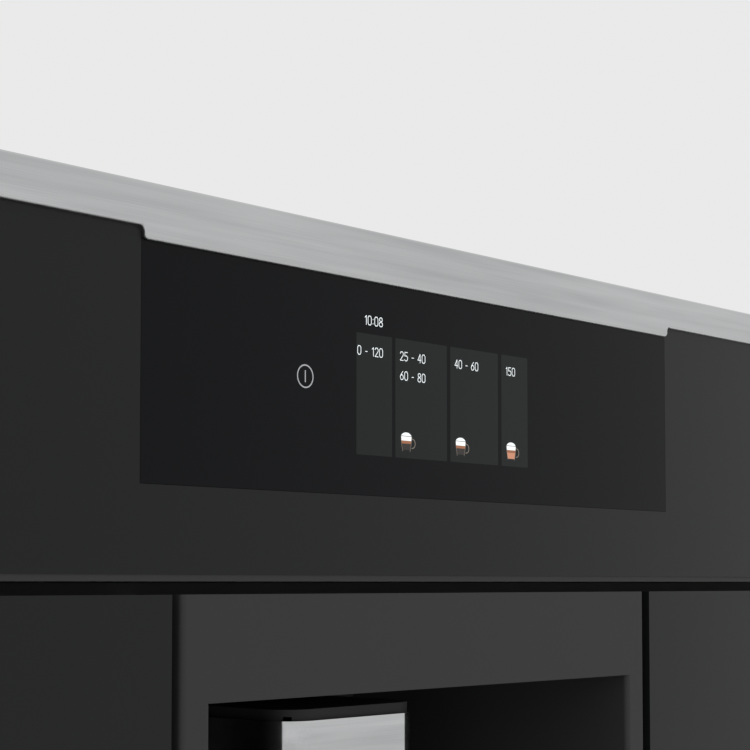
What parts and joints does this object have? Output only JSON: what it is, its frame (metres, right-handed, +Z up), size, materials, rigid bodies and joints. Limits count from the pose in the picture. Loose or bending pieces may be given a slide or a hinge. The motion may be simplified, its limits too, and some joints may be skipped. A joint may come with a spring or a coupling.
{
  "type": "built in coffee machine",
  "caption": "Built-in bean-to-cup coffee machine on pull-out rails, with touch fascia, service door, tank, drip tray, grinder and brewing unit.",
  "frame": {"origin": "centre of the outer box on the face that rests on the cabinet shelf", "axes": "+X to the right seen from the front, the front faces -Y, +Z up"},
  "size_m": [0.594, 0.47, 0.455],
  "materials": {
    "galvanised_sheet": "galvanised sheet, matt",
    "zinc_rail": "zinc plated",
    "screw_steel": "blackened",
    "satin_panel": "satin etched glass, dark grey",
    "gloss_window": "high gloss black",
    "brushed_strip": "brushed along its length",
    "black_moulding": "fine moulded grain",
    "screen": "lit colour screen behind glass",
    "circuit_board": "solder mask",
    "lens": "frosted",
    "smoked_plastic": "smoked",
    "knob_plastic": "ribbed",
    "grey_moulding": "moulded grain",
    "burr_steel": "ground",
    "gear_plastic": "acetal",
    "motor_steel": "drawn can",
    "brew_plastic": "glass filled",
    "spindle_steel": "turned",
    "red_plastic": "moulded",
    "outlet_plastic": "moulded",
    "clear_tank": "clear, lightly smoked",
    "heater_alloy": "cast",
    "hose_tube": "translucent tube",
    "inlet_plastic": "moulded"
  },
  "bodies": {
    "cabinet_mount": {"mounting_base": "galvanised_sheet", "outer_rails": "zinc_rail"},
    "rail_middles": {"middle_rails": "zinc_rail"},
    "chassis": {"inner_rails": "zinc_rail", "base_pan": "galvanised_sheet", "side_panels": "galvanised_sheet", "rear_cover": "galvanised_sheet", "top_cover": "galvanised_sheet", "front_frame": "galvanised_sheet", "cover_screws": "screw_steel", "fascia_panel": "satin_panel", "display_window": "gloss_window", "trim_strip": "brushed_strip", "fascia_carrier": "black_moulding", "display_module": "screen", "control_board": "circuit_board", "cup_lights": "lens", "niche_liner": "black_moulding", "door_hinges": "zinc_rail", "grounds_bay": "grey_moulding", "spout_rail": "black_moulding", "hot_water_nozzle": "spindle_steel", "tank_dock": "grey_moulding", "bean_container": "smoked_plastic", "coffee_funnel": "smoked_plastic", "grinder_housing": "grey_moulding", "upper_burr": "burr_steel", "grinder_motor": "motor_steel", "brew_frame": "brew_plastic", "brew_piston": "brew_plastic", "brew_gearmotor": "motor_steel", "water_pump": "motor_steel", "thermoblocks": "heater_alloy", "hoses": "hose_tube", "power_board": "circuit_board", "mains_inlet": "inlet_plastic"},
    "door": {"service_door": "satin_panel", "door_liner": "black_moulding"},
    "tray": {"drip_tray": "grey_moulding", "drip_tray_front": "black_moulding"},
    "grid": {"cup_grid": "brushed_strip"},
    "float": {"float_indicator": "red_plastic"},
    "grounds": {"grounds_container": "grey_moulding"},
    "spout": {"spout_body": "black_moulding", "spout_cover": "brushed_strip", "spout_nozzles": "spindle_steel"},
    "hot_outlet": {"hot_water_spout": "outlet_plastic"},
    "tank": {"water_tank": "clear_tank", "tank_front": "satin_panel"},
    "tank_flap": {"tank_lid": "clear_tank"},
    "bean_cover": {"bean_lid": "smoked_plastic"},
    "funnel_cover": {"funnel_lid": "smoked_plastic"},
    "knob": {"grind_knob": "knob_plastic"},
    "burr": {"lower_burr": "burr_steel", "burr_gear": "gear_plastic"},
    "pinion": {"motor_pinion": "gear_plastic"},
    "spindle": {"brew_spindle": "spindle_steel"},
    "chamber": {"brew_chamber": "brew_plastic"},
    "lever": {"release_lever": "red_plastic"},
    "rocker": {"main_switch": "inlet_plastic"}
  },
  "joints": [
    {"name": "machine_slide", "type": "slide", "parent": "cabinet_mount", "child": "chassis", "axis": [0, -1, 0], "range_m": [0, 0.34]},
    {"name": "middle_rail_slide", "type": "slide", "parent": "cabinet_mount", "child": "rail_middles", "axis": [0, -1, 0], "range_m": [0, 0.17]},
    {"name": "door_hinge", "type": "hinge", "parent": "chassis", "child": "door", "pos_m": [-0.289, -0.221, 0.165], "axis": [0, 0, -1], "range_deg": [0, 110]},
    {"name": "tray_slide", "type": "slide", "parent": "chassis", "child": "tray", "axis": [0, -1, 0], "range_m": [0, 0.14]},
    {"name": "grid_lift", "type": "slide", "parent": "tray", "child": "grid", "axis": [0, 0, 1], "range_m": [0, 0.03]},
    {"name": "float_rise", "type": "slide", "parent": "tray", "child": "float", "axis": [0, 0, 1], "range_m": [0, 0.006]},
    {"name": "grounds_slide", "type": "slide", "parent": "chassis", "child": "grounds", "axis": [0, -1, 0], "range_m": [0, 0.14]},
    {"name": "spout_height", "type": "slide", "parent": "chassis", "child": "spout", "axis": [0, 0, 1], "range_m": [-0.057, 0]},
    {"name": "hot_outlet_pull", "type": "slide", "parent": "chassis", "child": "hot_outlet", "axis": [0, -1, 0], "range_m": [0, 0.03]},
    {"name": "tank_slide", "type": "slide", "parent": "chassis", "child": "tank", "axis": [0, -1, 0], "range_m": [0, 0.24]},
    {"name": "tank_flap_hinge", "type": "hinge", "parent": "tank", "child": "tank_flap", "pos_m": [0.199, -0.1203, 0.2346], "axis": [-1, 0, 0], "range_deg": [0, 90]},
    {"name": "bean_lid_hinge", "type": "hinge", "parent": "chassis", "child": "bean_cover", "pos_m": [-0.1, 0.049, 0.4457], "axis": [-1, 0, 0], "range_deg": [0, 95]},
    {"name": "funnel_lid_hinge", "type": "hinge", "parent": "chassis", "child": "funnel_cover", "pos_m": [-0.23, -0.081, 0.4457], "axis": [-1, 0, 0], "range_deg": [0, 95]},
    {"name": "grind_adjust", "type": "hinge", "parent": "chassis", "child": "knob", "pos_m": [0.015, -0.02, 0.434], "axis": [0, 0, 1], "range_deg": [-150, 150]},
    {"name": "burr_spin", "type": "hinge", "parent": "chassis", "child": "burr", "pos_m": [-0.1, -0.02, 0.3346], "axis": [0, 0, 1], "continuous": true},
    {"name": "pinion_spin", "type": "hinge", "parent": "chassis", "child": "pinion", "pos_m": [-0.06215, -0.02, 0.3346], "axis": [0, 0, 1], "continuous": true},
    {"name": "spindle_turn", "type": "hinge", "parent": "chassis", "child": "spindle", "pos_m": [-0.236, -0.09, 0.11], "axis": [0, 0, 1], "range_deg": [0, 1800]},
    {"name": "chamber_lift", "type": "slide", "parent": "chassis", "child": "chamber", "axis": [0, 0, 1], "range_m": [0, 0.03]},
    {"name": "release_lever_hinge", "type": "hinge", "parent": "chassis", "child": "lever", "pos_m": [-0.205, -0.1905, 0.242], "axis": [-1, 0, 0], "range_deg": [0, 20]},
    {"name": "switch_rock", "type": "hinge", "parent": "chassis", "child": "rocker", "pos_m": [-0.16, 0.224, 0.09], "axis": [1, 0, 0], "range_deg": [0, 14]}
  ],
  "couplings": [
    {"joint": "middle_rail_slide", "follows": "machine_slide", "ratio": 0.5},
    {"joint": "pinion_spin", "follows": "burr_spin", "ratio": -4},
    {"joint": "spindle_turn", "follows": "chamber_lift", "rad_per_m": 1047.2}
  ]
}
